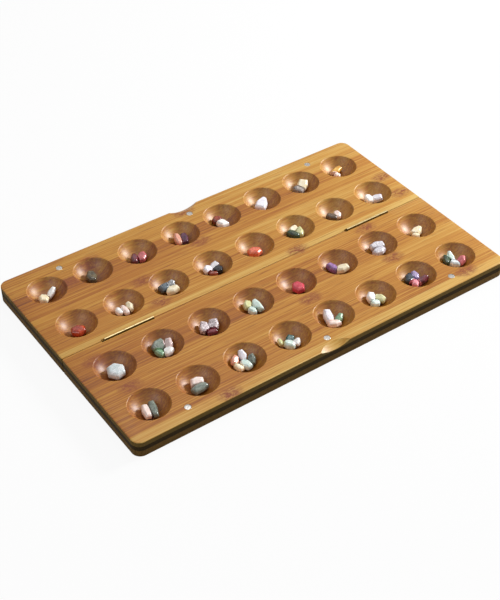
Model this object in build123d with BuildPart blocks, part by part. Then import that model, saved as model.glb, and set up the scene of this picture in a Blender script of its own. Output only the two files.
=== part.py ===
"""Folding bamboo mancala board, lying open, with its gemstone counters in the bowls.

Frame: X runs along the board, Y from the front edge to the rear edge, Z up, in millimetres.
The origin is the middle of the seam between the two halves, on the surface the board lies on.
"""
from build123d import *
import os
from math import asin, copysign, cos, hypot, pi, radians, sin, sqrt

os.makedirs("parts", exist_ok=True)

# Bamboo board halves
BOARD_LENGTH = 402.0
HALF_DEPTH = 122.0
BOARD_THICKNESS = 16.5
SEAM_GAP = 0.3
CORNER_RADIUS = 8.5
EDGE_EASE = 0.8

# Bowls, two rows of eight in each half
PITS_PER_ROW = 8
PIT_PITCH = 48.0
INNER_ROW_FROM_SEAM = 33.0
ROW_PITCH = 55.5
BOWL_DIAMETER = 37.0
BOWL_DEPTH = 12.5
BOWL_SIDES = 24
BOWL_BANDS = 4

# Finger scoop in the middle of each outer long edge
SCOOP_WIDTH = 33.0
SCOOP_INTO_FACE = 6.7
SCOOP_DOWN_SIDE = 4.0

# Disc magnets let into the playing face, three in each half
MAGNET_DIAMETER = 6.0
MAGNET_HEIGHT = 3.0
MAGNET_FROM_EDGE = 12.5
MAGNET_SPACING = 144.0
MAGNET_FIT = 0.05
MAGNET_RECESS = 0.05

# Brass butt hinges let into the seam, one towards each end
HINGE_LENGTH = 50.0
HINGE_FROM_END = 67.0
LEAF_THICKNESS = 0.7
LEAF_DROP = 12.0
PIN_DIAMETER = 1.4
KNUCKLES = 5
PIN_CLEARANCE = 0.04
KNUCKLE_END_GAP = 0.2
KNUCKLE_SWEEP_GAP = 0.25
FOLD_GAP = 0.2
SLOT_END_GAP = 0.3
SLOT_EXTRA = 2.6
MORTISE_FIT = 0.1

# Gemstone counters: tumbled chips that lie against the wall of their bowl
STONE_GAP = 0.2
STONE_CORNERS = 6
STONE_WOBBLE = 0.05
BASE_BEVEL_SHARE = 0.25
CROWN_BEVEL_SHARE = 0.25

# How square an outline is, and how much narrower its far end is than its middle
FORMS = {"pebble": (2.2, 0.0), "block": (4.0, 0.0), "wedge": (3.0, 0.45)}

# The counters of each bowl, by row from the rear and bowl from the left.
# Each is form, x and y in the bowl, length, width, thickness, and the turn of its length from X.
COUNTERS = {
    (1, 1): [("block", -6.5, -2.5, 11, 8.5, 6, 60), ("pebble", 6, 2.5, 13, 6, 5.5, 30)],
    (1, 2): [("pebble", -2.5, 0.5, 15, 10, 6.5, 70)],
    (1, 3): [("pebble", -5, 0, 13.5, 7.5, 6, 62), ("pebble", 4.5, -2, 13, 9, 6, 60)],
    (1, 4): [("block", -3.5, 1.5, 15, 6.5, 6, 75), ("block", 4.5, -1.5, 14, 7, 6, 68)],
    (1, 5): [("pebble", -3.5, 6, 12, 8, 6, 10), ("block", -2.5, -3.5, 12, 10, 6.5, 95)],
    (1, 6): [("wedge", -1, -1, 19, 11, 7, 40)],
    (1, 7): [("block", 5.5, 3.5, 11.5, 10.5, 6.5, 40), ("pebble", -4.5, -1, 12.5, 9.5, 6, 110)],
    (1, 8): [("block", 0, 4, 15, 6.5, 5.5, 15), ("pebble", -4, -3.5, 7, 6.5, 5, 60)],
    (2, 1): [("pebble", -0.5, -3.5, 14, 12, 7, -20)],
    (2, 2): [
        ("pebble", -7.5, -1, 9.5, 6.5, 5.5, 80),
        ("pebble", -0.5, -2.5, 13, 6.5, 6, 85),
        ("pebble", 6.5, -1, 12, 6.5, 6, 80),
    ],
    (2, 3): [
        ("block", -3.5, 4, 12, 8.5, 6.5, 10),
        ("pebble", 6, 5.5, 8, 7, 5.5, 30),
        ("block", 1.5, -5, 13, 8.5, 6.5, -10),
    ],
    (2, 4): [
        ("pebble", -5.5, 2, 11, 9.5, 6, 60),
        ("block", 5, 4.5, 9.5, 7, 5, 20),
        ("pebble", 5, -4.5, 9.5, 9, 6.5, 70),
        ("pebble", -4, -7, 8.5, 5.5, 5, -10),
    ],
    (2, 5): [("pebble", -2, -3, 14.5, 12, 7, -10)],
    (2, 6): [
        ("pebble", -4.5, -2.5, 14, 9, 6.5, 115),
        ("block", 1.5, 6, 9, 7.5, 6, 10),
        ("wedge", 5, -2.5, 13.5, 7, 6, 55),
    ],
    (2, 7): [("pebble", -5, -1, 11.5, 9, 6, 130), ("pebble", 3.5, -1, 11, 7.5, 6, 65)],
    (2, 8): [("pebble", -5, 1.5, 12, 9.5, 6.5, 75), ("block", 4, -3.5, 12, 8.5, 6, -30)],
    (3, 1): [("pebble", 0.5, -0.5, 17, 15, 7.5, 100)],
    (3, 2): [
        ("block", -2, 7, 13.5, 10, 6.5, 20),
        ("block", -5.5, -3, 9, 7, 5.5, 100),
        ("block", 2.5, -6, 10, 8.5, 6, 20),
        ("block", 8.5, 2, 12.5, 7, 6, 55),
    ],
    (3, 3): [
        ("block", -5, 2.5, 12.5, 9.5, 6.5, 60),
        ("block", 6, 0.5, 12.5, 9.5, 6.5, 55),
        ("block", -1, -7.5, 9.5, 6, 5.5, -20),
    ],
    (3, 4): [
        ("pebble", -4, 6, 10.5, 8.5, 6, 60),
        ("pebble", -4.5, -4, 11.5, 7.5, 6, 75),
        ("block", 4.5, -1, 15, 7.5, 6.5, 85),
    ],
    (3, 5): [("pebble", 1.5, -2, 14.5, 11, 7, 80)],
    (3, 6): [("pebble", -5.5, 3, 12.5, 8.5, 6.5, 110), ("pebble", 3, -5, 13.5, 9.5, 6.5, -20)],
    (3, 7): [("pebble", 3, 4.5, 14.5, 9.5, 6.5, -10), ("pebble", -1, -5, 15, 8.5, 6.5, 10)],
    (3, 8): [("wedge", 2, 0, 13.5, 8.5, 6, 20), ("pebble", -5, -6, 8, 5.5, 5, -40)],
    (4, 1): [("block", -4, 0, 15.5, 7, 6, 75), ("block", 4, -1.5, 17, 6.5, 6, 72)],
    (4, 2): [("block", 2, 5.5, 11.5, 9, 6.5, -20), ("block", -0.5, -3.5, 14.5, 8.5, 6, 10)],
    (4, 3): [
        ("pebble", -8, 8, 11, 7, 5.5, 45),
        ("pebble", 3, 10, 11.5, 7, 6, 80),
        ("pebble", 0, -1.5, 12.5, 9, 6.5, 100),
        ("block", -9, -2, 8, 6.5, 5, 100),
        ("pebble", 9, 0, 10.5, 7, 6, 60),
    ],
    (4, 4): [
        ("pebble", -10, 4, 8, 4.5, 4.5, 80),
        ("pebble", -4, -4, 12.5, 9, 6.5, 110),
        ("block", 2, 3, 8.5, 7.5, 6, 40),
        ("wedge", 5.5, -5, 8, 6.5, 5.5, 30),
    ],
    (4, 5): [
        ("block", -2.5, 7, 15, 8, 6.5, 75),
        ("pebble", 6.5, -1.5, 11.5, 6.5, 5.5, 25),
        ("pebble", -3, -5.5, 12.5, 7.5, 6, -10),
    ],
    (4, 6): [
        ("pebble", -2, 5, 12, 9, 6.5, 60),
        ("pebble", 5.5, -1.5, 11.5, 8.5, 6, 110),
        ("pebble", -4, -5, 10, 8, 6, 20),
    ],
    (4, 7): [
        ("pebble", -5.5, 5, 12.5, 9.5, 6.5, 40),
        ("pebble", 4, 5.5, 11, 6.5, 6, 80),
        ("block", -4, -4.5, 11.5, 6.5, 5.5, 40),
        ("pebble", 5, -6, 13.5, 7, 6, 0),
    ],
    (4, 8): [
        ("block", -8, 5.5, 12, 6, 5.5, 60),
        ("wedge", 0, 7.5, 13, 6.5, 6, 70),
        ("pebble", -3, -3.5, 11.5, 8, 6, 120),
        ("pebble", 6, -5, 12, 8, 6, 25),
    ],
}

bowl_radius = ((BOWL_DIAMETER / 2) ** 2 + BOWL_DEPTH**2) / (2 * BOWL_DEPTH)
bowl_floor_z = BOARD_THICKNESS - BOWL_DEPTH
bowl_centre_z = bowl_floor_z + bowl_radius
pit_x = [(pit - (PITS_PER_ROW - 1) / 2) * PIT_PITCH for pit in range(PITS_PER_ROW)]
row_from_seam = {
    1: INNER_ROW_FROM_SEAM + ROW_PITCH,
    2: INNER_ROW_FROM_SEAM,
    3: -INNER_ROW_FROM_SEAM,
    4: -INNER_ROW_FROM_SEAM - ROW_PITCH,
}
seam_face = SEAM_GAP / 2
outer_edge = seam_face + HALF_DEPTH
magnet_x = [-MAGNET_SPACING, 0.0, MAGNET_SPACING]
fold_axis_z = BOARD_THICKNESS + FOLD_GAP / 2
bore_radius = PIN_DIAMETER / 2 + PIN_CLEARANCE
knuckle_radius = bore_radius + LEAF_THICKNESS
leaf_top_z = fold_axis_z - knuckle_radius - KNUCKLE_SWEEP_GAP
leaf_bottom_z = fold_axis_z - LEAF_DROP
hinge_from_middle = BOARD_LENGTH / 2 - HINGE_FROM_END
hinge_middles = {"left": -hinge_from_middle, "right": hinge_from_middle}


def finish(piece, name):
    """Labels a finished piece and writes it under its name."""
    piece.label = name
    export_step(piece, f"parts/{name}.step")


# The hollow of one bowl, standing where a bowl at the origin would be: a many-sided dish whose
# corners all lie on one ball, with a small level floor. Each level is one ring of corners.
bowl_wall_angle = asin(BOWL_DIAMETER / 2 / bowl_radius)
band_angle = 2 * bowl_wall_angle / (2 * BOWL_BANDS + 1)
side_angles = [2 * pi * side / BOWL_SIDES for side in range(BOWL_SIDES)]
bowl_levels = []
for level in range(BOWL_BANDS + 1):
    wall_angle = band_angle * (level + 0.5)
    radius = bowl_radius * sin(wall_angle)
    z = bowl_centre_z - bowl_radius * cos(wall_angle)
    bowl_levels.append([Vector(radius * cos(angle), radius * sin(angle), z) for angle in side_angles])
panels = [Face(Wire.make_polygon(bowl_levels[0])), Face(Wire.make_polygon(bowl_levels[-1]))]
for low, high in zip(bowl_levels, bowl_levels[1:]):
    for side in range(BOWL_SIDES):
        panels.append(Face(Wire.make_polygon([low[side - 1], low[side], high[side], high[side - 1]])))
bowl_hollow = Solid(Shell(panels))

# The ball that the panels of the wall just reach.
half_band = bowl_radius * sin(band_angle / 2)
half_side = BOWL_DIAMETER / 2 * sin(pi / BOWL_SIDES)
clear_ball_radius = sqrt(bowl_radius**2 - half_band**2 - half_side**2)

# The scoop's ball passes through both ends of the scoop's width on the board's edge.
scoop_out = ((SCOOP_WIDTH / 2) ** 2 - SCOOP_INTO_FACE**2) / (2 * SCOOP_INTO_FACE)
scoop_up = ((SCOOP_WIDTH / 2) ** 2 - SCOOP_DOWN_SIDE**2) / (2 * SCOOP_DOWN_SIDE)
scoop_radius = sqrt((SCOOP_WIDTH / 2) ** 2 + scoop_out**2 + scoop_up**2)

# The slot for one hinge, centred on the hinge's middle: a round channel for the knuckles, which
# runs on past the hinge's left end, and below it a shallow bed for the leaf.
slot_length = HINGE_LENGTH + 2 * SLOT_END_GAP + SLOT_EXTRA
with BuildPart() as hinge_slot:
    with BuildSketch(Plane.YZ.offset(HINGE_LENGTH / 2 + SLOT_END_GAP)):
        with Locations((0, fold_axis_z)):
            Circle(knuckle_radius + KNUCKLE_SWEEP_GAP)
            Rectangle(
                2 * (seam_face + LEAF_THICKNESS + MORTISE_FIT),
                LEAF_DROP + MORTISE_FIT,
                align=(Align.CENTER, Align.MAX),
            )
    extrude(amount=-slot_length)

# Front half of the board: bowls, scoop, magnet sockets and hinge slots cut into a slab with
# rounded outer corners and eased outer edges.
with BuildPart() as front_board:
    with BuildSketch():
        with Locations((0, -(seam_face + outer_edge) / 2)):
            Rectangle(BOARD_LENGTH, HALF_DEPTH)
    extrude(amount=BOARD_THICKNESS)
    outer_corners = front_board.edges().filter_by(Axis.Z).group_by(Axis.Y)[0]
    fillet(outer_corners, CORNER_RADIUS)
    flat_faces = front_board.faces().filter_by(Axis.Z)
    outline_edges = flat_faces.edges().filter_by(lambda edge: edge.center().Y < -seam_face - EDGE_EASE)
    chamfer(outline_edges, EDGE_EASE)
    with Locations([(x, row_from_seam[row], 0) for row in (3, 4) for x in pit_x]):
        add(bowl_hollow, mode=Mode.SUBTRACT)
    with Locations((0, -outer_edge - scoop_out, BOARD_THICKNESS + scoop_up)):
        Sphere(scoop_radius, mode=Mode.SUBTRACT)
    with Locations([(x, -outer_edge + MAGNET_FROM_EDGE, BOARD_THICKNESS) for x in magnet_x]):
        Hole(MAGNET_DIAMETER / 2 + MAGNET_FIT, depth=MAGNET_HEIGHT + MAGNET_RECESS)
    with Locations([(x, 0, 0) for x in hinge_middles.values()]):
        add(hinge_slot.part, mode=Mode.SUBTRACT)
finish(front_board.part, "front_board")

# Rear half: the front half's mirror image across the seam.
with BuildPart() as rear_board:
    mirror(front_board.part, about=Plane.XZ)
finish(rear_board.part, "rear_board")

# Magnets: nickel-plated discs, pressed into the sockets of each half.
magnet_top_z = BOARD_THICKNESS - MAGNET_RECESS
for half, side in {"front": -1, "rear": 1}.items():
    magnet_y = side * (outer_edge - MAGNET_FROM_EDGE)
    with BuildPart() as magnets:
        with BuildSketch(Plane.XY.offset(magnet_top_z)):
            with Locations([(x, magnet_y) for x in magnet_x]):
                Circle(MAGNET_DIAMETER / 2)
        extrude(amount=-MAGNET_HEIGHT)
    finish(magnets.part, f"{half}_magnets")

# One leaf of a hinge, centred on the hinge's middle: a flat plate with every other knuckle rolled
# round the pin.
knuckle_length = (HINGE_LENGTH - (KNUCKLES - 1) * KNUCKLE_END_GAP) / KNUCKLES
leaf_middle_y = -(seam_face + LEAF_THICKNESS / 2)
leaves = {}
for half, first_knuckle in {"front": 0, "rear": 1}.items():
    with BuildPart() as leaf:
        with BuildSketch(Plane.XZ.offset(seam_face)):
            with Locations((0, leaf_bottom_z)):
                Rectangle(HINGE_LENGTH, leaf_top_z - leaf_bottom_z, align=(Align.CENTER, Align.MIN))
        extrude(amount=LEAF_THICKNESS)
        for knuckle in range(first_knuckle, KNUCKLES, 2):
            knuckle_start = -HINGE_LENGTH / 2 + knuckle * (knuckle_length + KNUCKLE_END_GAP)
            with BuildSketch(Plane.YZ.offset(knuckle_start)):
                with Locations((leaf_middle_y, leaf_top_z)):
                    Rectangle(LEAF_THICKNESS, fold_axis_z - leaf_top_z, align=(Align.CENTER, Align.MIN))
                with Locations((0, fold_axis_z)):
                    Circle(knuckle_radius)
                    Circle(bore_radius, mode=Mode.SUBTRACT)
            extrude(amount=knuckle_length)
    leaves[half] = leaf.part

# Pin: one rod through all the knuckles of a hinge.
with BuildPart() as pin:
    with BuildSketch(Plane.YZ.offset(-HINGE_LENGTH / 2)):
        with Locations((0, fold_axis_z)):
            Circle(PIN_DIAMETER / 2)
    extrude(amount=HINGE_LENGTH)

# Each hinge in its place; the rear leaf faces the front one across the seam.
for name, middle in hinge_middles.items():
    with BuildPart() as front_leaf:
        with Locations((middle, 0, 0)):
            add(leaves["front"])
    finish(front_leaf.part, f"{name}_hinge_front_leaf")
    with BuildPart() as rear_leaf:
        with Locations((middle, 0, 0)):
            add(leaves["rear"])
        mirror(about=Plane.XZ, mode=Mode.REPLACE)
    finish(rear_leaf.part, f"{name}_hinge_rear_leaf")
    with BuildPart() as placed_pin:
        with Locations((middle, 0, 0)):
            add(pin.part)
    finish(placed_pin.part, f"{name}_hinge_pin")


def stone_outline(form, length, width, seed):
    """Corners of a stone's outline: an oval or squarish ring, uneven as a tumbled chip is. Its flats, rather
    than its corners, reach about the stone's length and width."""
    squareness, narrowing = FORMS[form]
    half_length, half_width = length / 2 / cos(pi / STONE_CORNERS), width / 2 / cos(pi / STONE_CORNERS)
    corners = []
    for corner in range(STONE_CORNERS):
        angle = 2 * pi * (corner + 0.5) / STONE_CORNERS
        along = copysign(abs(cos(angle)) ** (2 / squareness), cos(angle))
        across = copysign(abs(sin(angle)) ** (2 / squareness), sin(angle))
        uneven = 1 - STONE_WOBBLE * (1 + sin(2.4 * corner + 1.7 * seed))
        corners.append((half_length * along * uneven, half_width * across * uneven * (1 - narrowing * along)))
    return corners


def seat_plane(middle_x, middle_y, x, y, base_reach, turn):
    """Plane of a stone's base at (x, y) in its bowl, square to the wall, its corners just off the wall."""
    depth = sqrt(bowl_radius**2 - x**2 - y**2)
    inward = Vector(-x, -y, depth) / bowl_radius
    distance = sqrt((clear_ball_radius - STONE_GAP) ** 2 - base_reach**2)
    bowl_centre = Vector(middle_x, middle_y, bowl_centre_z)
    heading = Vector(cos(radians(turn)), sin(radians(turn)), 0)
    along = heading - inward * heading.dot(inward)
    return Plane(origin=bowl_centre - inward * distance, x_dir=along, z_dir=inward)


def cut_between(own, other):
    """Plane that keeps a stone off its neighbour: between their middles, half a gap on its own side."""
    own_middle = sum(own, Vector()) / len(own)
    other_middle = sum(other, Vector()) / len(other)
    towards = (other_middle - own_middle).normalized()
    own_reach = max((corner - own_middle).dot(towards) for corner in own)
    other_reach = max((other_middle - corner).dot(towards) for corner in other)
    meeting = own_middle + (other_middle - own_middle) * (own_reach / (own_reach + other_reach))
    return Plane(origin=meeting - towards * STONE_GAP / 2, z_dir=towards)


# Counters: the stones of one bowl are lifted out together, so each bowl's handful is one node.
# A stone is a bevelled chip, ground flat where it meets a neighbour.
for (row, pit), handful in COUNTERS.items():
    seats, outlines, corners, chips = [], [], [], []
    for number, (form, x, y, length, width, thickness, turn) in enumerate(handful):
        outline = stone_outline(form, length, width, number + pit)
        base_reach = max(hypot(*corner) for corner in outline) - BASE_BEVEL_SHARE * thickness
        seat = seat_plane(pit_x[pit - 1], row_from_seam[row], x, y, base_reach, turn)
        seats.append(seat)
        outlines.append(outline)
        corners.append([seat.from_local_coords(Vector(a, b, c)) for a, b in outline for c in (0, thickness)])
    for number, (seat, outline) in enumerate(zip(seats, outlines)):
        thickness = handful[number][5]
        with BuildPart() as chip:
            with BuildSketch(seat):
                Polygon(*outline, align=None)
            extrude(amount=thickness)
            upward = Axis(seat.origin, seat.z_dir)
            chamfer(chip.faces().sort_by(upward)[0].edges(), BASE_BEVEL_SHARE * thickness)
            chamfer(chip.faces().sort_by(upward)[-1].edges(), CROWN_BEVEL_SHARE * thickness)
            for other in range(len(handful)):
                if other != number:
                    split(bisect_by=cut_between(corners[number], corners[other]), keep=Keep.BOTTOM)
        chips.append(chip.part)
    with BuildPart() as stones:
        for chip in chips:
            add(chip)
    finish(stones.part, f"stones_row{row}_pit{pit}")
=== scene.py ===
"""A folding bamboo mancala board lying open, with gemstone counters in its bowls."""
import math

import bmesh
import bpy
import numpy as np
from mathutils import Matrix, Vector


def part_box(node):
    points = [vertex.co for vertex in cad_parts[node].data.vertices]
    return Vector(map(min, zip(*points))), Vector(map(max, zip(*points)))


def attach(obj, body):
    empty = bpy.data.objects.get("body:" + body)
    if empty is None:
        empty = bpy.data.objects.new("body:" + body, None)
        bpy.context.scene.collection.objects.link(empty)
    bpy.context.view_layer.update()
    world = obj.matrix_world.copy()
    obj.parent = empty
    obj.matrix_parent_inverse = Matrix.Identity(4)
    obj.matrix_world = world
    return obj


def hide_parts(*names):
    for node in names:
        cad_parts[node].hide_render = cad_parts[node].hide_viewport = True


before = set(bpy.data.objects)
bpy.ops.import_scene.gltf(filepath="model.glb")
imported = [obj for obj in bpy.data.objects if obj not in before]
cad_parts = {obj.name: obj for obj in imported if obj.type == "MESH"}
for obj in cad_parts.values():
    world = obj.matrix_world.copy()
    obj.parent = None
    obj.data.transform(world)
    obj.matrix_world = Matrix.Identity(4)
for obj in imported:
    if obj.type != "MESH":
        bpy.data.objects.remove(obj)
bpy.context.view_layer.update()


# Board halves: two bamboo slabs glued up from strips of cane, sawn to a rounded outline, with two
# rows of round bowls turned in each, a finger scoop in the long edge, and slots and sockets for the
# hinges and magnets. Sanded, eased along every edge and lacquered.
board_low, board_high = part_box("front_board")
half_length = board_high.x
seam_face = -board_high.y
outer_edge = -board_low.y
board_top = board_high.z
edge_ease = 0.0008
seam_ease_share = 0.35
corner_radius = 0.0085
seam_corner_radius = 0.0012
bowls_in_row = 8
bowl_pitch = 0.048
bowl_middles_x = (np.arange(bowls_in_row) - (bowls_in_row - 1) / 2) * bowl_pitch
inner_row = 0.033
outer_row = 0.0885
bowl_rim_radius = 0.0185
bowl_depth = 0.0125
rim_ease = 0.00035
bowl_ball = (bowl_rim_radius**2 + bowl_depth**2) / (2 * bowl_depth)
bowl_ball_z = board_top - bowl_depth + bowl_ball
scoop_width = 0.033
scoop_into_face = 0.0067
scoop_down_side = 0.004
magnet_radius = 0.003
magnet_from_edge = 0.0125
magnet_spacing = 0.144
socket_gap = 0.00005
socket_depth = 0.00305
socket_ease = 0.0001
socket_ease_over = 0.00005
fold_axis_z = 0.0166
hinge_length = 0.050
hinge_middle = 0.134
hinge_slot_radius = 0.00169
leaf_bed_half_width = 0.00095
leaf_bed_bottom = fold_axis_z - 0.0121
slot_end_gap = 0.0003
slot_extra = 0.0026
cutter_over = 0.002


def grid_quads(rings, steps, wrap_rings, first=0):
    """Corners of the four-sided faces of a grid of rings by steps, numbered from first."""
    ring = np.arange(rings if wrap_rings else rings - 1)[:, None]
    step = np.arange(steps - 1)[None, :]
    after = (ring + 1) % rings
    a, b = ring * steps + step, ring * steps + step + 1
    c, d = after * steps + step + 1, after * steps + step
    return first + np.stack([a + 0 * b, b, c, d], axis=-1).reshape(-1, 4)


def surface_mesh(name, grids, lids=()):
    """Mesh of several grids of points. Each grid is (points[ring, step, xyz], whether the last ring meets the
    first). Each lid is (grid number, step number): a flat face over that step of all the rings."""
    corners, faces, starts = [], [], []
    count = 0
    for points, wrap_rings in grids:
        rings, steps = points.shape[:2]
        starts.append((count, rings, steps))
        corners.append(points.reshape(-1, 3))
        faces.extend(grid_quads(rings, steps, wrap_rings, count).tolist())
        count += rings * steps
    for grid_number, step_number in lids:
        start, rings, steps = starts[grid_number]
        faces.append((start + np.arange(rings) * steps + step_number % steps).tolist())
    mesh = bpy.data.meshes.new(name)
    mesh.from_pydata(np.concatenate(corners).tolist(), [], faces)
    shell = bmesh.new()
    shell.from_mesh(mesh)
    bmesh.ops.remove_doubles(shell, verts=shell.verts, dist=1e-6)
    bmesh.ops.dissolve_degenerate(shell, edges=shell.edges, dist=1e-7)
    bmesh.ops.recalc_face_normals(shell, faces=shell.faces)
    shell.to_mesh(mesh)
    shell.free()
    return mesh


def place(name, mesh, smooth_below=math.radians(40)):
    """New object of a mesh, smooth but for edges sharper than the given angle."""
    mesh.shade_smooth()
    mesh.set_sharp_from_angle(angle=smooth_below)
    piece = bpy.data.objects.new(name, mesh)
    bpy.context.scene.collection.objects.link(piece)
    return piece


def turned(profile, middle, turns):
    """Surface of revolution: a profile of (radius, height) carried round the upright line at middle."""
    angle = np.linspace(0, 2 * np.pi, turns, endpoint=False)[:, None]
    radius, height = profile[:, 0][None, :], profile[:, 1][None, :]
    x = middle[0] + np.cos(angle) * radius
    y = middle[1] + np.sin(angle) * radius
    return np.stack([x, y, 0 * angle + height], axis=-1)


def slab_outline(inset):
    """Rounded rectangle of a front half, drawn in by inset: quarter arcs about the four corners' centres."""
    reach = half_length - inset
    seam_side = -seam_face - inset * seam_ease_share
    outer_side = -outer_edge + inset
    corners = [
        (reach, outer_side, -1, 1, corner_radius - inset, -90),
        (reach, seam_side, -1, -1, seam_corner_radius - inset, 0),
        (-reach, seam_side, 1, -1, seam_corner_radius - inset, 90),
        (-reach, outer_side, 1, 1, corner_radius - inset, 180),
    ]
    arcs = []
    for x, y, inward_x, inward_y, radius, start in corners:
        angle = np.radians(start + np.linspace(0, 90, 17))
        arcs.append(
            np.stack([x + inward_x * radius + radius * np.cos(angle),
                      y + inward_y * radius + radius * np.sin(angle)], axis=-1)
        )
    return np.concatenate(arcs)


def slab_surface():
    """Outline carried up the edge's profile: a quarter round of edge_ease at the bottom and at the top."""
    turn = np.linspace(0, np.pi / 2, 6)
    inset = np.concatenate([edge_ease * (1 - np.sin(turn)), edge_ease * (1 - np.cos(turn))])
    height = np.concatenate([edge_ease * (1 - np.cos(turn)), board_top - edge_ease * (1 - np.sin(turn))])
    levels = []
    for level_inset, z in zip(inset, height):
        outline = slab_outline(level_inset)
        levels.append(np.column_stack([outline, np.full(len(outline), z)]))
    return np.stack(levels, axis=1)


def dish_profile():
    """Ball from the floor of a bowl to its rim, eased outwards at the face, closed above the face."""
    last = math.acos((bowl_ball_z - board_top + rim_ease) / bowl_ball)
    angle = np.linspace(0, last, 22)
    wall = np.column_stack([bowl_ball * np.sin(angle), bowl_ball_z - bowl_ball * np.cos(angle)])
    rim = [
        (bowl_rim_radius + 0.3 * rim_ease, board_top - 0.35 * rim_ease),
        (bowl_rim_radius + 1.2 * rim_ease, board_top + 0.15 * rim_ease),
        (bowl_rim_radius + 1.2 * rim_ease, board_top + cutter_over),
        (0, board_top + cutter_over),
    ]
    return np.concatenate([wall, rim])


def scoop_surface():
    """Ball through both ends of the scoop's width, its middle outside the edge and above the face."""
    out = ((scoop_width / 2) ** 2 - scoop_into_face**2) / (2 * scoop_into_face)
    up = ((scoop_width / 2) ** 2 - scoop_down_side**2) / (2 * scoop_down_side)
    radius = math.sqrt((scoop_width / 2) ** 2 + out**2 + up**2)
    angle = np.linspace(0, np.pi, 97)
    profile = np.column_stack([radius * np.sin(angle), board_top + up - radius * np.cos(angle)])
    return turned(profile, (0, -outer_edge - out), 160)


def socket_profile():
    """Straight socket of a magnet, eased at the face by a slope that runs on a little above it."""
    wall = magnet_radius + socket_gap
    eased_wall = wall + socket_ease + socket_ease_over
    return np.array([
        (0, board_top - socket_depth),
        (wall, board_top - socket_depth),
        (wall, board_top - socket_ease),
        (eased_wall, board_top + socket_ease_over),
        (eased_wall, board_top + cutter_over),
        (0, board_top + cutter_over),
    ])


def slot_surface(middle):
    """Round channel of the knuckles over the straight bed of the leaves, carried along a hinge."""
    join = math.asin(leaf_bed_half_width / hinge_slot_radius)
    angle = np.linspace(-join, -2 * np.pi + join, 49)
    channel = np.column_stack([
        -hinge_slot_radius * np.sin(angle),
        fold_axis_z - hinge_slot_radius * np.cos(angle),
    ])
    bed = np.array([(-leaf_bed_half_width, leaf_bed_bottom), (leaf_bed_half_width, leaf_bed_bottom)])
    section = np.concatenate([channel, bed])
    x = middle + np.array([-hinge_length / 2 - slot_end_gap - slot_extra, hinge_length / 2 + slot_end_gap])
    return np.stack([np.column_stack([np.full(len(section), end), section]) for end in x], axis=1)


def front_half_mesh():
    """Slab with the bowls, scoop, sockets and slots cut from it."""
    cuts = [
        (turned(dish_profile(), (x, -y), 96), True)
        for x in bowl_middles_x
        for y in (inner_row, outer_row)
    ]
    cuts.append((scoop_surface(), True))
    magnet_y = -outer_edge + magnet_from_edge
    for x in (-magnet_spacing, 0, magnet_spacing):
        cuts.append((turned(socket_profile(), (x, magnet_y), 48), True))
    lids = []
    for middle in (-hinge_middle, hinge_middle):
        lids.extend([(len(cuts), 0), (len(cuts), 1)])
        cuts.append((slot_surface(middle), True))
    slab = place("slab", surface_mesh("slab", [(slab_surface(), True)], [(0, 0), (0, -1)]))
    cutter = place("cutter", surface_mesh("cutter", cuts, lids))
    cut = slab.modifiers.new("cut", "BOOLEAN")
    cut.operation = "DIFFERENCE"
    cut.solver = "EXACT"
    cut.object = cutter
    carved = bpy.data.meshes.new_from_object(slab.evaluated_get(bpy.context.evaluated_depsgraph_get()))
    bpy.data.objects.remove(slab)
    bpy.data.objects.remove(cutter)
    carved.materials.clear()
    return carved


def mirrored(mesh, name):
    """Copy of a mesh on the other side of the seam, turned right side out again."""
    other = mesh.copy()
    other.name = name
    points = np.empty(len(other.vertices) * 3)
    other.vertices.foreach_get("co", points)
    points[1::3] *= -1
    other.vertices.foreach_set("co", points)
    other.flip_normals()
    other.update()
    return other


front_mesh = front_half_mesh()
rear_mesh = mirrored(front_mesh, "rear_half_bamboo")
front_half = place("front_half_bamboo", front_mesh, smooth_below=math.radians(28))
rear_half = place("rear_half_bamboo", rear_mesh, smooth_below=math.radians(28))


def paint(red, green, blue):
    """Linear colour of a paint chip read in ordinary 0 to 255 screen values."""
    chip = np.array([red, green, blue]) / 255
    linear = np.where(chip <= 0.04045, chip / 12.92, ((chip + 0.055) / 1.055) ** 2.4)
    return (*linear.tolist(), 1.0)


def new_material(name):
    """Empty node material: (material, nodes, links, its shader)."""
    material = bpy.data.materials.new(name)
    material.use_nodes = True
    nodes, links = material.node_tree.nodes, material.node_tree.links
    return material, nodes, links, nodes["Principled BSDF"]


def feed(nodes, links, kind, inputs, **settings):
    """New node with its settings made and its inputs set or linked."""
    node = nodes.new(kind)
    for key, value in settings.items():
        setattr(node, key, value)
    for key, value in inputs.items():
        if isinstance(value, bpy.types.NodeSocket):
            links.new(value, node.inputs[key])
        else:
            node.inputs[key].default_value = value
    return node


def ramp(nodes, links, factor, stops):
    """Colour ramp over (position, colour) stops."""
    node = nodes.new("ShaderNodeValToRGB")
    links.new(factor, node.inputs[0])
    elements = node.color_ramp.elements
    elements[0].position, elements[0].color = stops[0]
    elements[1].position, elements[1].color = stops[-1]
    for position, colour in stops[1:-1]:
        elements.new(position).color = colour
    return node.outputs[0]


def math_node(nodes, links, operation, a, b=0.0, c=0.0):
    """One sum of two or three values."""
    return feed(nodes, links, "ShaderNodeMath", {0: a, 1: b, 2: c}, operation=operation).outputs[0]


def stretched(nodes, links, at, scale):
    """The points at, multiplied by scale along X, Y and Z."""
    return feed(nodes, links, "ShaderNodeMapping", {"Vector": at, "Scale": scale}).outputs[0]


def noise(nodes, links, at, scale, detail, roughness=0.5, distortion=0.0):
    """Cloudy noise over the points at."""
    inputs = {"Vector": at, "Scale": scale, "Detail": detail}
    inputs |= {"Roughness": roughness, "Distortion": distortion}
    return feed(nodes, links, "ShaderNodeTexNoise", inputs).outputs[0]


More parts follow.
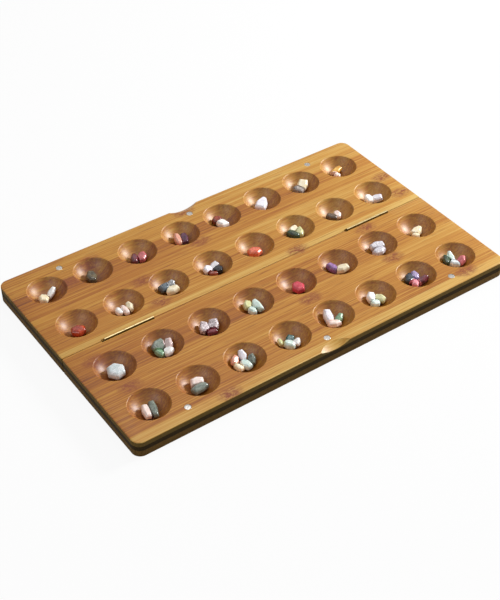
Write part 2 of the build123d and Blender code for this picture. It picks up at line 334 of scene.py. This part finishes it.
def roughen(nodes, links, shader, height, strength, depth):
    """Fine relief of the surface: bumps up to depth metres high where height is 1."""
    inputs = {"Strength": strength, "Distance": depth, "Height": height}
    bump = feed(nodes, links, "ShaderNodeBump", inputs)
    links.new(bump.outputs[0], shader.inputs["Normal"])


def mixed(nodes, links, factor, a, b, blend="MIX"):
    """Colours a and b mixed by factor."""
    node = feed(nodes, links, "ShaderNodeMix", {"Factor": factor}, data_type="RGBA", blend_type=blend)
    for socket, colour in ((node.inputs[6], a), (node.inputs[7], b)):
        if isinstance(colour, bpy.types.NodeSocket):
            links.new(colour, socket)
        else:
            socket.default_value = colour
    return node.outputs[2]


# Nodes of the canes that show in the face: middle x and y of each, in metres.
cane_nodes = [
    (-0.016, 0.067), (-0.091, 0.049), (-0.093, 0.014), (0.192, 0.048), (0.190, 0.017), (0.052, 0.003),
    (0.125, -0.008), (-0.179, -0.018), (-0.145, 0.086), (-0.107, -0.117), (0.118, -0.058), (0.160, -0.112),
    (-0.003, 0.115), (-0.117, 0.102), (-0.170, -0.062), (0.020, -0.060),
]
# Half length and half width, in metres, of the reddish patch round each of them.
node_half_length = 1 / 72
node_half_width = 1 / 120
# Where each strip of cane begins, in metres along Y, and how light it is, from the front edge to the rear.
strips = [
    (-0.1222, 0.86), (-0.1130, 0.42), (-0.0965, 0.38), (-0.0800, 0.46), (-0.0635, 0.52), (-0.0470, 0.26),
    (-0.0305, 0.38), (-0.0140, 0.50), (0.0000, 0.92), (0.0060, 0.56), (0.0230, 0.48), (0.0400, 0.58),
    (0.0570, 0.44), (0.0740, 0.26), (0.0910, 0.60), (0.1080, 0.64),
]
strips_reach = 0.125
# How far up the edge the lower ply and the dark middle ply reach, as shares of the thickness.
lower_ply_top = 0.42
middle_ply_top = 0.70
# How much darker the bowls are painted, as painted shade in their hollows together with the deeper
# look of the thicker lacquer, and where that begins below the face.
bowl_painted_shade_tone = (0.86, 0.79, 0.54, 1)
bowl_finish_below = 0.0003
# A face whose normal rises less than this counts as a sawn edge.
sawn_edge_rise = 0.30


def strip_tones(nodes, links, y):
    """Tone of the strip that lies at y: a ramp across the board with a step where each strip begins."""
    over = math_node(nodes, links, "MULTIPLY_ADD", y, 0.5 / strips_reach, 0.5)
    by_strip = nodes.new("ShaderNodeValToRGB")
    by_strip.color_ramp.interpolation = "CONSTANT"
    links.new(over, by_strip.inputs[0])
    stops = by_strip.color_ramp.elements
    for number, (begin, tone) in enumerate(strips):
        position = begin * 0.5 / strips_reach + 0.5
        stop = stops[number] if number < 2 else stops.new(position)
        stop.position, stop.color = position, (tone, tone, tone, 1)
    return by_strip.outputs[0]


def cane_node_specks(nodes, links, place_of, x, y):
    """Share of reddish specks: (0.35 + 0.85 speck) times the largest, over the cane nodes, of
    1 - (dx / half length)^2 - (dy / half width)^2, or of 0 where that is less."""
    patches = 0.0
    for node_x, node_y in cane_nodes:
        squares = []
        for place_along, middle, half in ((x, node_x, node_half_length), (y, node_y, node_half_width)):
            off = math_node(nodes, links, "SUBTRACT", place_along, middle)
            share = math_node(nodes, links, "MULTIPLY", off, 1 / half)
            squares.append(math_node(nodes, links, "POWER", share, 2.0))
        left_over = math_node(nodes, links, "SUBTRACT", 1.0, math_node(nodes, links, "ADD", *squares))
        near = math_node(nodes, links, "MAXIMUM", left_over, 0.0)
        patches = math_node(nodes, links, "MAXIMUM", near, patches)
    mottle = noise(nodes, links, stretched(nodes, links, place_of, (0.5, 1, 1)), 520.0, 3.0, 0.7)
    speck = ramp(nodes, links, mottle, [(0.42, (0, 0, 0, 1)), (0.60, (1, 1, 1, 1))])
    speck_share = math_node(nodes, links, "MULTIPLY_ADD", speck, 0.85, 0.35)
    return math_node(nodes, links, "MULTIPLY", patches, speck_share)


def strip_colours(nodes, links, place_of, grain_at, strip_tone, fibres):
    """Face of the strips: a colour ramp over the tone, which is
    0.60 strip + 0.30 bands + 0.95 fibres + 0.30 drift + 0.40 x - 0.525,
    under dark vascular dashes along the grain and the reddish specks of the cane nodes. The 0.40 x term is
    painted light: the face grows lighter towards the right end, nearer the lamp on the right."""
    x, y, _ = feed(nodes, links, "ShaderNodeSeparateXYZ", {0: place_of}).outputs
    bands = noise(nodes, links, stretched(nodes, links, grain_at, (5, 300, 200)), 1.0, 3.0, 0.55)
    drift = noise(nodes, links, stretched(nodes, links, grain_at, (7, 1, 1)), 1.0, 2.0)
    tone = math_node(nodes, links, "MULTIPLY_ADD", strip_tone, 0.60, -0.525)
    # The x term is painted light, lighter towards the right end of the board.
    for part, weight in ((bands, 0.30), (fibres, 0.95), (drift, 0.30), (x, 0.40)):
        tone = math_node(nodes, links, "MULTIPLY_ADD", part, weight, tone)
    face = ramp(nodes, links, tone, [
        (0.16, paint(118, 58, 10)),
        (0.42, paint(162, 98, 22)),
        (0.62, paint(186, 131, 48)),
        (0.90, paint(204, 167, 90)),
    ])
    dashes = noise(nodes, links, stretched(nodes, links, grain_at, (40, 700, 500)), 1.0, 2.0)
    dark_dash = ramp(nodes, links, dashes, [(0.60, (1, 1, 1, 1)), (0.72, (0.70, 0.60, 0.50, 1))])
    face = mixed(nodes, links, 1.0, face, dark_dash, "MULTIPLY")
    specks = cane_node_specks(nodes, links, place_of, x, y)
    return mixed(nodes, links, specks, face, paint(128, 60, 18))


def three_plies(nodes, links, z, fibres):
    """Sawn edge: three plies, of which the middle one is dark. All three are painted darker than the face,
    partly their own tone and partly painted shade on the sides of the board.
    """
    grain = math_node(nodes, links, "MULTIPLY_ADD", fibres, 0.8, 0.1)
    top_ply = mixed(nodes, links, grain, paint(114, 92, 46), paint(84, 66, 32))
    middle_ply = mixed(nodes, links, grain, paint(60, 45, 20), paint(36, 26, 11))
    lower_ply = mixed(nodes, links, grain, paint(114, 86, 42), paint(80, 58, 26))
    under_top = math_node(nodes, links, "LESS_THAN", z, board_top * middle_ply_top)
    under_middle = math_node(nodes, links, "LESS_THAN", z, board_top * lower_ply_top)
    plies = mixed(nodes, links, under_top, top_ply, middle_ply)
    return mixed(nodes, links, under_middle, plies, lower_ply)


def bamboo(name, finish, roughness, lacquer):
    """Bamboo with fine fibres along X: strips of cane on the faces and, in tones deepened by painted shade
    and the thicker lacquer, in the bowls, and plies on the sawn edges, painted darker partly as shade.
    Lacquer is how strongly the finish shines."""
    material, nodes, links, shader = new_material(name)
    place_of = nodes.new("ShaderNodeTexCoord").outputs["Object"]
    x, y, z = feed(nodes, links, "ShaderNodeSeparateXYZ", {0: place_of}).outputs
    strip_tone = strip_tones(nodes, links, y)
    # Each strip is shifted along X by its own length, up to 7 m, so that no two show the same grain.
    seed = feed(nodes, links, "ShaderNodeTexWhiteNoise", {"W": strip_tone}, noise_dimensions="1D")
    own_x = math_node(nodes, links, "MULTIPLY_ADD", seed.outputs["Value"], 7.0, x)
    grain_at = feed(nodes, links, "ShaderNodeCombineXYZ", {0: own_x, 1: y, 2: z}).outputs[0]
    fibres = noise(nodes, links, stretched(nodes, links, grain_at, (9, 760, 600)), 1.0, 4.0, 0.6)
    if finish == "edge":
        colour = three_plies(nodes, links, z, fibres)
    else:
        colour = strip_colours(nodes, links, place_of, grain_at, strip_tone, fibres)
    # Painted shade in the bowls: their colour is multiplied darker, together with the deeper look of the
    # lacquer.
    if finish == "bowl":
        colour = mixed(nodes, links, 1.0, colour, bowl_painted_shade_tone, "MULTIPLY")
    links.new(colour, shader.inputs["Base Color"])
    links.new(math_node(nodes, links, "MULTIPLY_ADD", fibres, 0.10, roughness), shader.inputs["Roughness"])
    shader.inputs["Specular IOR Level"].default_value = lacquer
    roughen(nodes, links, shader, fibres, 0.10, 0.0003)
    return material


# The lacquer lies thin on the faces, thick in the bowls and hardly at all on the sawn edges. The bowls and
# the sawn edges are also painted darker, partly as painted shade.
face_finish, bowl_finish, edge_finish = 0, 1, 2
finishes_of_bamboo = [
    bamboo("lacquered_face", "face", 0.36, 0.40),
    bamboo("lacquered_bowls_painted_shade", "bowl", 0.41, 0.75),
    bamboo("sawn_edges", "edge", 0.66, 0.06),
]
for half, body, node in ((front_half, "front_half", "front_board"), (rear_half, "rear_half", "rear_board")):
    for finish in finishes_of_bamboo:
        half.data.materials.append(finish)
    count = len(half.data.polygons)
    normals, centres = np.empty(count * 3), np.empty(count * 3)
    half.data.polygons.foreach_get("normal", normals)
    half.data.polygons.foreach_get("center", centres)
    rise = normals.reshape(-1, 3)[:, 2]
    along, across, height = np.abs(centres.reshape(-1, 3)).T
    among_rows = (across > inner_row - bowl_rim_radius) & (across < outer_row + bowl_rim_radius)
    among_rows &= along < bowl_middles_x[-1] + bowl_rim_radius
    in_bowl = among_rows & (height < board_top - bowl_finish_below) & (rise > sawn_edge_rise)
    shown_finish = np.where(in_bowl, bowl_finish, face_finish)
    shown_finish = np.where(np.abs(rise) < sawn_edge_rise, edge_finish, shown_finish)
    half.data.polygons.foreach_set("material_index", shown_finish)
    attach(half, body)
    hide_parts(node)


# Magnets: small nickel-plated discs pressed into the face beside each long edge. They hold the
# board shut when it is folded. Their rims are slightly rounded from tumbling.
magnet_rim = 0.0003
magnet_low, magnet_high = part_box("front_magnets")


def disc_profile(bottom, top):
    """Disc's section from the axis out and back: flat, quarter-round rim, straight side, flat."""
    turn = np.linspace(0, np.pi / 2, 7)
    out = magnet_radius - magnet_rim * (1 - np.cos(turn))
    into = magnet_rim * (1 - np.sin(turn))
    upper, lower = np.column_stack([out, top - into]), np.column_stack([out, bottom + into])
    return np.concatenate([[(0, top)], upper[::-1], lower, [(0, bottom)]])


def nickel():
    """Nickel plate with faint scuffs."""
    material, nodes, links, shader = new_material("nickel_plate")
    place_of = nodes.new("ShaderNodeTexCoord").outputs["Object"]
    scuffs = noise(nodes, links, place_of, 900.0, 4.0)
    plate = ramp(nodes, links, scuffs, [(0.35, paint(150, 144, 138)), (0.65, paint(196, 192, 186))])
    links.new(plate, shader.inputs["Base Color"])
    links.new(math_node(nodes, links, "MULTIPLY_ADD", scuffs, 0.25, 0.18), shader.inputs["Roughness"])
    shader.inputs["Metallic"].default_value = 1.0
    roughen(nodes, links, shader, scuffs, 0.08, 0.0001)
    return material


nickel_plate = nickel()
for half, side in (("front", -1), ("rear", 1)):
    magnet_y = side * (outer_edge - magnet_from_edge)
    discs = [
        (turned(disc_profile(magnet_low.z, magnet_high.z), (x, magnet_y), 48), True)
        for x in (-magnet_spacing, 0, magnet_spacing)
    ]
    magnets = place(f"{half}_disc_magnets", surface_mesh(f"{half}_disc_magnets", discs))
    magnets.data.materials.append(nickel_plate)
    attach(magnets, f"{half}_half")
    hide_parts(f"{half}_magnets")


# Hinges: pressed brass leaves with knuckles rolled round a brass pin, let into the seam towards
# each end. The brass is darkened down the sides of the knuckles by painted shade.
# Reach of the painted shade down the flanks of the knuckles, in metres from the middle of the seam.
painted_shade_reach = 0.002


def brass(name, bright, dull):
    """Drawn brass between two tones: streaks along the hinge, fine stains, and painted shade on the flanks
    that darkens with the distance from the middle of the seam, in shares of the reach set before the
    function."""
    material, nodes, links, shader = new_material(name)
    place_of = nodes.new("ShaderNodeTexCoord").outputs["Object"]
    streaks = noise(nodes, links, stretched(nodes, links, place_of, (60, 2500, 2500)), 1.0, 4.0)
    tarnish = noise(nodes, links, place_of, 120.0, 5.0)
    metal = ramp(nodes, links, streaks, [(0.3, dull), (0.7, bright)])
    stain = ramp(nodes, links, tarnish, [(0.45, (1, 1, 1, 1)), (0.85, paint(222, 208, 180))])
    rubbed = mixed(nodes, links, 1.0, metal, stain, "MULTIPLY")
    y = feed(nodes, links, "ShaderNodeSeparateXYZ", {0: place_of}).outputs[1]
    across = math_node(nodes, links, "MULTIPLY", math_node(nodes, links, "ABSOLUTE", y), 1 / painted_shade_reach)
    # Painted shade: darker brass more than 0.84 mm from the middle of the seam, down the knuckles' sides.
    painted_flank_shade = ramp(nodes, links, across, [(0.20, (1, 1, 1, 1)), (0.42, paint(96, 80, 52))])
    links.new(mixed(nodes, links, 1.0, rubbed, painted_flank_shade, "MULTIPLY"), shader.inputs["Base Color"])
    links.new(math_node(nodes, links, "MULTIPLY_ADD", streaks, 0.15, 0.28), shader.inputs["Roughness"])
    shader.inputs["Metallic"].default_value = 1.0
    roughen(nodes, links, shader, streaks, 0.15, 0.0001)
    return material


drawn_brass = brass("drawn_brass", paint(226, 208, 160), paint(198, 176, 126))
for side in ("left", "right"):
    for piece_name in ("front_leaf", "rear_leaf", "pin"):
        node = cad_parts[f"{side}_hinge_{piece_name}"]
        node.data.materials.clear()
        node.data.materials.append(drawn_brass)


# Screws: three countersunk brass wood screws through each leaf into the edge of its half, with
# straight slots. Their slots and rims carry painted shade in dark brass, as the slots are too shallow to
# hold shade of their own. They show only while the board is folding or shut.
screw_head_radius = 0.0021
screw_head_edge = 0.0001
screw_rim_share = 0.86
screw_slot_width = 0.0006
screw_slot_depth = 0.00007
screw_slot_wall = 0.00008
screw_spacing = 0.017
leaf_low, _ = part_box("left_hinge_front_leaf")
screw_z = (leaf_low.z + fold_axis_z - hinge_slot_radius) / 2


def across_slot(along, up, slot_turn):
    """Distance of points on a head from the middle line of its slot."""
    return np.abs(-along * np.sin(slot_turn) + up * np.cos(slot_turn))


def screw_head(x, side, slot_turn):
    """Flat head: rings of a disc raised off the leaf, its middle band sunk to make the slot across it. The
    last 2 % of the radius slopes down to the leaf."""
    radius = np.concatenate([np.linspace(0, screw_head_radius * 0.98, 16), [screw_head_radius]])
    angle = np.linspace(0, 2 * np.pi, 96, endpoint=False)[:, None]
    a = np.cos(angle) * radius[None, :]
    b = np.sin(angle) * radius[None, :]
    inside = (screw_slot_width / 2 - across_slot(a, b, slot_turn)) / screw_slot_wall + 0.5
    sunk = np.clip(inside, 0, 1) * screw_slot_depth
    height = np.where(radius[None, :] < screw_head_radius, screw_head_edge - sunk, 0)
    y = side * (seam_face - height)
    return np.stack([x + a, np.broadcast_to(y, a.shape), screw_z + b], axis=-1)


# Dark brass painted into the screws' slots and round their rims as painted shade.
painted_shade_brass = brass("painted_shade_brass", paint(96, 78, 48), paint(64, 50, 30))
slot_turns = np.radians([20, 75, -40, 8, 130, 62])
for half, side in (("front", -1), ("rear", 1)):
    for hinge, middle in (("left", -hinge_middle), ("right", hinge_middle)):
        turns = slot_turns if half == "front" else slot_turns[::-1]
        turns = turns[3:] if hinge == "left" else turns[:3]
        screw_x = middle + np.array([-screw_spacing, 0, screw_spacing])
        heads = [(screw_head(x, side, turn), True) for x, turn in zip(screw_x, turns)]
        screws = place(f"{hinge}_hinge_{half}_screws", surface_mesh(f"{hinge}_hinge_{half}_screws", heads))
        screws.data.materials.append(drawn_brass)
        screws.data.materials.append(painted_shade_brass)
        centres = np.empty(len(screws.data.polygons) * 3)
        screws.data.polygons.foreach_get("center", centres)
        centres = centres.reshape(-1, 3)
        own = np.abs(centres[:, :1] - screw_x).argmin(axis=1)
        along, up = centres[:, 0] - screw_x[own], centres[:, 2] - screw_z
        in_slot = across_slot(along, up, turns[own]) < screw_slot_width / 2
        at_rim = np.hypot(along, up) > screw_rim_share * screw_head_radius
        screws.data.polygons.foreach_set("material_index", (in_slot | at_rim).astype(int))
        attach(screws, f"{half}_half")


# Counters: tumbled gemstone chips, a few lying loose in each bowl. Each is a worn, many-sided
# pebble with its own colour and figure, polished in a tumbler. The larger the power tumble, the
# less the corners are worn.
tumble = 34.0


def islands(corners, triangles):
    """Number of the loose stone that each triangle belongs to, by spreading the lowest corner number over
    triangles that share a corner. Corners within 0.1 micrometres count as one."""
    places, shared = np.unique(np.round(corners * 1e7).astype(int), axis=0, return_inverse=True)
    shared = shared.reshape(-1)[triangles]
    label = np.arange(len(places))
    while True:
        lowest = label[shared].min(axis=1)
        spread = label.copy()
        np.minimum.at(spread, shared.reshape(-1), np.repeat(lowest, 3))
        if np.array_equal(spread, label):
            return label[shared[:, 0]]
        label = spread


def tumbled(corners, triangles):
    """Worn form of a flat-sided stone. Along a direction d from its middle the surface lies at
    1 / (sum of (d.n / h) ** tumble over the sides that face d) ** (1 / tumble), for sides of outward normal n
    at height h: always inside the flat sides, and rounder where more of them meet."""
    a, b, c = (corners[triangles[:, k]] for k in range(3))
    middle = corners[np.unique(triangles)].mean(axis=0)
    normal = np.cross(b - a, c - a)
    normal /= np.linalg.norm(normal, axis=1, keepdims=True)
    height = np.einsum("ij,ij->i", a - middle, normal)
    _, first = np.unique(np.round(normal, 2), axis=0, return_index=True)
    normal, height = normal[first], height[first]
    azimuth = np.linspace(0, 2 * np.pi, 56, endpoint=False)[:, None]
    polar = np.linspace(0, np.pi, 33)[None, :]
    toward = np.stack([
        np.cos(azimuth) * np.sin(polar),
        np.sin(azimuth) * np.sin(polar),
        0 * azimuth + np.cos(polar),
    ], axis=-1)
    facing = np.clip(toward @ normal.T, 0, None) / height
    reach = 1 / (facing**tumble).sum(axis=-1) ** (1 / tumble)
    return middle + toward * reach[..., None]


# Finish of each kind of stone: two main tones, the tone of its veins or specks, how strong these are,
# their size in metres, and how much light the stone lets through.
stone_finishes = {
    "cream": ((250, 242, 218), (240, 224, 184), (212, 184, 134), 0.25, 0.003, 0.10),
    "white": ((252, 250, 248), (240, 236, 232), (210, 200, 194), 0.20, 0.004, 0.25),
    "pale_rose": ((250, 236, 228), (242, 216, 206), (222, 180, 170), 0.25, 0.003, 0.20),
    "rose": ((214, 120, 122), (188, 90, 96), (120, 44, 54), 0.35, 0.003, 0.10),
    "pink": ((230, 150, 160), (206, 110, 126), (244, 200, 204), 0.35, 0.003, 0.15),
    "deep_rose": ((214, 72, 88), (186, 48, 66), (226, 110, 120), 0.30, 0.004, 0.15),
    "olive": ((98, 80, 46), (60, 50, 32), (130, 126, 110), 0.50, 0.0035, 0.0),
    "maroon": ((120, 40, 52), (74, 24, 36), (150, 80, 90), 0.35, 0.003, 0.05),
    "plum": ((96, 44, 70), (54, 22, 44), (140, 96, 120), 0.35, 0.003, 0.05),
    "salmon": ((232, 172, 148), (216, 142, 118), (238, 206, 190), 0.35, 0.003, 0.15),
    "carnelian": ((190, 60, 28), (140, 34, 16), (214, 110, 60), 0.35, 0.004, 0.20),
    "brick": ((150, 66, 42), (110, 44, 30), (80, 34, 26), 0.40, 0.003, 0.0),
    "coral": ((224, 110, 74), (200, 78, 50), (238, 150, 120), 0.35, 0.003, 0.15),
    "lavender_white": ((246, 244, 248), (228, 224, 234), (190, 180, 204), 0.25, 0.004, 0.25),
    "lavender": ((176, 160, 200), (140, 122, 172), (206, 196, 220), 0.35, 0.003, 0.20),
    "amethyst": ((152, 102, 162), (108, 62, 122), (196, 170, 210), 0.45, 0.0035, 0.20),
    "speckled": ((134, 120, 112), (90, 78, 76), (214, 206, 200), 0.65, 0.0016, 0.0),
    "smoky": ((104, 82, 64), (66, 52, 42), (140, 120, 100), 0.35, 0.003, 0.15),
    "amber": ((222, 172, 78), (190, 130, 40), (240, 206, 130), 0.40, 0.003, 0.25),
    "slate": ((78, 90, 100), (48, 58, 68), (150, 160, 166), 0.40, 0.0025, 0.0),
    "snowflake": ((150, 154, 160), (90, 94, 100), (226, 228, 230), 0.70, 0.0018, 0.0),
    "clear_grey": ((234, 232, 236), (208, 206, 212), (236, 234, 238), 0.30, 0.004, 0.35),
    "black": ((30, 30, 36), (14, 14, 18), (64, 66, 76), 0.30, 0.003, 0.0),
    "navy": ((34, 42, 54), (18, 22, 32), (90, 104, 120), 0.40, 0.003, 0.0),
    "dark_green": ((36, 66, 44), (18, 34, 26), (110, 130, 90), 0.40, 0.003, 0.0),
    "teal": ((28, 84, 82), (16, 52, 54), (120, 170, 160), 0.45, 0.0025, 0.10),
    "green": ((142, 178, 144), (104, 146, 116), (170, 196, 160), 0.40, 0.003, 0.10),
    "aqua": ((226, 240, 234), (196, 220, 210), (240, 244, 240), 0.35, 0.004, 0.30),
    "pale_green": ((232, 230, 184), (204, 206, 148), (180, 180, 120), 0.30, 0.003, 0.20),
    "grey_green": ((124, 134, 122), (88, 98, 90), (176, 184, 172), 0.45, 0.0025, 0.0),
    "teal_specks": ((240, 242, 244), (216, 224, 226), (84, 130, 130), 0.45, 0.0016, 0.10),
    "pink_specks": ((238, 226, 222), (218, 196, 192), (170, 96, 100), 0.55, 0.0018, 0.05),
    "maroon_veins": ((246, 238, 240), (228, 216, 220), (84, 34, 48), 0.95, 0.0030, 0.0),
    "grey_veins": ((238, 236, 242), (218, 214, 224), (120, 118, 126), 0.75, 0.0026, 0.05),
}

# The stones of each bowl from left to right, rows from the rear.
stones_in = {
    (1, 1): ["cream", "white"], (1, 2): ["olive"], (1, 3): ["maroon", "rose"], (1, 4): ["salmon", "plum"],
    (1, 5): ["brick", "white"], (1, 6): ["lavender_white"], (1, 7): ["speckled", "cream"],
    (1, 8): ["pale_rose", "amber"],
    (2, 1): ["carnelian"], (2, 2): ["white", "pale_rose", "cream"], (2, 3): ["slate", "cream", "snowflake"],
    (2, 4): ["lavender_white", "brick", "black", "clear_grey"], (2, 5): ["coral"],
    (2, 6): ["dark_green", "cream", "pale_green"], (2, 7): ["smoky", "pale_rose"],
    (2, 8): ["white", "lavender_white"],
    (3, 1): ["teal_specks"], (3, 2): ["green", "grey_green", "white", "pink_specks"],
    (3, 3): ["maroon_veins", "maroon", "maroon_veins"], (3, 4): ["aqua", "pale_green", "aqua"],
    (3, 5): ["deep_rose"], (3, 6): ["amethyst", "cream"], (3, 7): ["grey_veins", "grey_veins"],
    (3, 8): ["cream", "cream"],
    (4, 1): ["pale_rose", "grey_green"], (4, 2): ["grey_green", "pale_rose"],
    (4, 3): ["cream", "salmon", "aqua", "lavender_white", "grey_green"],
    (4, 4): ["pale_green", "aqua", "teal", "white"], (4, 5): ["lavender_white", "pale_rose", "green"],
    (4, 6): ["aqua", "white", "pale_green"], (4, 7): ["navy", "pink", "lavender", "maroon"],
    (4, 8): ["dark_green", "teal_specks", "aqua", "rose"],
}


def gemstone(name, main, shade, figure, figure_strength, figure_size, clearness):
    """Polished stone: cloudy tones, veins or specks of a third tone, and a faintly pitted surface."""
    material, nodes, links, shader = new_material(f"stone_{name}")
    place_of = nodes.new("ShaderNodeTexCoord").outputs["Object"]
    cloud = noise(nodes, links, place_of, 210.0, 3.0, 0.6)
    tones = ramp(nodes, links, cloud, [(0.38, paint(*shade)), (0.62, paint(*main))])
    marks = noise(nodes, links, place_of, 1 / figure_size, 5.0, 0.65, 1.2)
    marked = ramp(nodes, links, marks, [(0.47, (0, 0, 0, 1)), (0.53, (1, 1, 1, 1)), (0.60, (0, 0, 0, 1))])
    strength = math_node(nodes, links, "MULTIPLY", marked, figure_strength)
    links.new(mixed(nodes, links, strength, tones, paint(*figure)), shader.inputs["Base Color"])
    links.new(math_node(nodes, links, "MULTIPLY_ADD", cloud, 0.15, 0.12), shader.inputs["Roughness"])
    shader.inputs["Subsurface Weight"].default_value = clearness
    shader.inputs["Subsurface Radius"].default_value = (1.0, 0.9, 0.8)
    shader.inputs["Subsurface Scale"].default_value = 0.0015
    pits = noise(nodes, links, place_of, 1400.0, 2.0)
    roughen(nodes, links, shader, pits, 0.1, 0.0001)
    return material


stone_materials = {name: gemstone(name, *finish) for name, finish in stone_finishes.items()}
for (row, pit), finishes in stones_in.items():
    node_name = f"stones_row{row}_pit{pit}"
    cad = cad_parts[node_name].data
    cad.calc_loop_triangles()
    corners = np.empty(len(cad.vertices) * 3)
    cad.vertices.foreach_get("co", corners)
    corners = corners.reshape(-1, 3)
    triangles = np.empty(len(cad.loop_triangles) * 3, int)
    cad.loop_triangles.foreach_get("vertices", triangles)
    triangles = triangles.reshape(-1, 3)
    label = islands(corners, triangles)
    stones = [tumbled(corners, triangles[label == number]) for number in np.unique(label)]
    stones.sort(key=lambda points: points[:, :, 0].mean())
    mesh = surface_mesh(f"counters_row{row}_pit{pit}", [(points, True) for points in stones])
    for finish in finishes:
        mesh.materials.append(stone_materials[finish])
    middles = np.array([points.mean(axis=(0, 1)) for points in stones])
    centres = np.empty(len(mesh.polygons) * 3)
    mesh.polygons.foreach_get("center", centres)
    nearest = ((centres.reshape(-1, 1, 3) - middles[None]) ** 2).sum(axis=-1).argmin(axis=1)
    mesh.polygons.foreach_set("material_index", nearest)
    counters = place(f"counters_row{row}_pit{pit}", mesh, smooth_below=math.radians(70))
    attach(counters, f"handful_row{row}_pit{pit}")
    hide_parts(node_name)


# Studio: a pale table under a pale sky, a strong lamp low on the right, and soft ones overhead and
# on the left.
floor_half = 3.0
floor_mesh = bpy.data.meshes.new("table")
floor_corners = [(floor_half * x, floor_half * y, 0) for x, y in ((-1, -1), (1, -1), (1, 1), (-1, 1))]
floor_mesh.from_pydata(floor_corners, [], [(0, 1, 2, 3)])
floor = bpy.data.objects.new("table", floor_mesh)
bpy.context.scene.collection.objects.link(floor)


def seen_directly(nodes, links):
    """1 for a ray from the camera or off a shiny or clear surface, 0 for one that lights a dull surface."""
    path = nodes.new("ShaderNodeLightPath").outputs
    direct = math_node(nodes, links, "MAXIMUM", path["Is Camera Ray"], path["Is Glossy Ray"])
    return math_node(nodes, links, "MAXIMUM", direct, path["Is Transmission Ray"])


table, nodes, links, shader = new_material("pale_table")
shader.inputs["Base Color"].default_value = (0.80, 0.80, 0.80, 1)
shader.inputs["Roughness"].default_value = 0.9
shader.inputs["Specular IOR Level"].default_value = 0.1
white_share = math_node(nodes, links, "MULTIPLY", seen_directly(nodes, links), 0.92)
glow = feed(nodes, links, "ShaderNodeEmission", {"Color": (1, 1, 1, 1), "Strength": 1.0})
blend = nodes.new("ShaderNodeMixShader")
links.new(white_share, blend.inputs[0])
links.new(shader.outputs[0], blend.inputs[1])
links.new(glow.outputs[0], blend.inputs[2])
links.new(blend.outputs[0], nodes["Material Output"].inputs["Surface"])
floor_mesh.materials.append(table)


def lamp(name, place_at, size, power):
    """Square area lamp turned from its place towards the middle of the board."""
    light = bpy.data.lights.new(name, "AREA")
    light.shape = "SQUARE"
    light.size, light.energy = size, power
    holder = bpy.data.objects.new(name, light)
    bpy.context.scene.collection.objects.link(holder)
    holder.location = place_at
    holder.rotation_euler = (-Vector(place_at)).to_track_quat("-Z", "Y").to_euler()


lamp("right_lamp", (1.47, -0.18, 0.80), 0.42, 36)
lamp("top_lamp", (0.30, 0.40, 1.40), 0.8, 6)
lamp("left_lamp", (-1.07, -0.34, 0.84), 0.6, 3)

world = bpy.data.worlds.new("studio")
bpy.context.scene.world = world
world.use_nodes = True
sky_nodes, sky_links = world.node_tree.nodes, world.node_tree.links
sky = sky_nodes["Background"]
sky.inputs["Color"].default_value = (1, 1, 1, 1)
brightness = math_node(sky_nodes, sky_links, "MULTIPLY_ADD", seen_directly(sky_nodes, sky_links), 0.85, 0.15)
sky_links.new(brightness, sky.inputs["Strength"])

# The camera stands to the front left and looks down on the board.
camera_azimuth = math.radians(-34.85)
camera_elevation = math.radians(40.98)
camera_distance = 1.1194
camera_roll = math.radians(-0.37)
camera_aim = np.array([-0.0259, -0.0301, board_top])
camera_lens_mm = 74.77
away = np.array([
    math.sin(camera_azimuth) * math.cos(camera_elevation),
    -math.cos(camera_azimuth) * math.cos(camera_elevation),
    math.sin(camera_elevation),
])
right = np.cross(-away, [0, 0, 1])
right /= np.linalg.norm(right)
up = np.cross(right, -away)
rolled_right = math.cos(camera_roll) * right + math.sin(camera_roll) * up
rolled_up = -math.sin(camera_roll) * right + math.cos(camera_roll) * up
lens = bpy.data.cameras.new("camera")
lens.lens = camera_lens_mm
lens.sensor_width = 36
lens.sensor_fit = "AUTO"
camera = bpy.data.objects.new("camera", lens)
bpy.context.scene.collection.objects.link(camera)
turn = np.eye(4)
turn[:3, 0], turn[:3, 1], turn[:3, 2] = rolled_right, rolled_up, away
turn[:3, 3] = camera_aim + camera_distance * away
camera.matrix_world = Matrix(turn.tolist())
bpy.context.scene.camera = camera
bpy.context.scene.view_settings.view_transform = "Standard"

bpy.context.view_layer.update()
